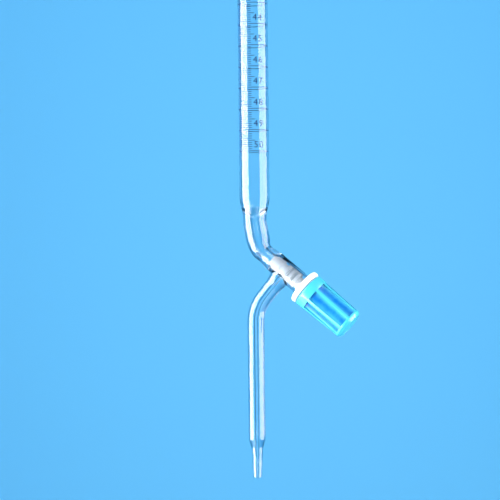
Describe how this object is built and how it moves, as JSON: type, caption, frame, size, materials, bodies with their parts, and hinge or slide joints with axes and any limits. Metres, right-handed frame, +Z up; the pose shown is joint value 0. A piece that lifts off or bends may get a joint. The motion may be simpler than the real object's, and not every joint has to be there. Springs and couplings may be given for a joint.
{
  "type": "burette",
  "caption": "50 ml glass burette with a printed scale, a slanting screw valve with a ribbed knob, and a side arm that bends down to a drawn jet.",
  "frame": {"origin": "centre of the jet's end face, on the axis of the graduated tube", "axes": "+Z up along the graduated tube, +X towards the valve's knob, the scale faces -Y"},
  "size_m": [0.0576, 0.0172, 0.7245],
  "materials": {
    "clear_glass": "clear polished borosilicate",
    "white_ptfe": "turned, waxy white",
    "white_collar": "moulded, satin white",
    "pale_seal": "smooth, milky",
    "blue_plastic": "moulded, translucent cyan blue",
    "clip_steel": "stamped stainless",
    "scale_print": "fired enamel, dark blue-grey"
  },
  "bodies": {
    "glass": {"graduated_tube": "clear_glass", "inlet_elbow": "clear_glass", "valve_barrel": "clear_glass", "delivery_arm": "clear_glass", "jet_tip": "clear_glass", "threaded_collar": "white_collar", "collar_gasket": "pale_seal"},
    "spindle": {"valve_spindle": "white_ptfe", "front_seal_ring": "pale_seal", "rear_seal_ring": "pale_seal", "retaining_clip": "clip_steel", "thrust_washer": "white_ptfe"},
    "knob": {"knob": "blue_plastic", "knob_cap": "blue_plastic"}
  },
  "joints": [
    {"name": "spindle_travel", "type": "slide", "parent": "glass", "child": "spindle", "axis": [0.766, 0, -0.6428], "range_m": [0, 0.004]},
    {"name": "knob_turn", "type": "hinge", "parent": "spindle", "child": "knob", "pos_m": [0, 0, 0.112], "axis": [0.766, 0, -0.6428], "range_deg": [0, 720]}
  ],
  "couplings": [
    {"joint": "knob_turn", "follows": "spindle_travel", "rad_per_m": 3141.6}
  ]
}
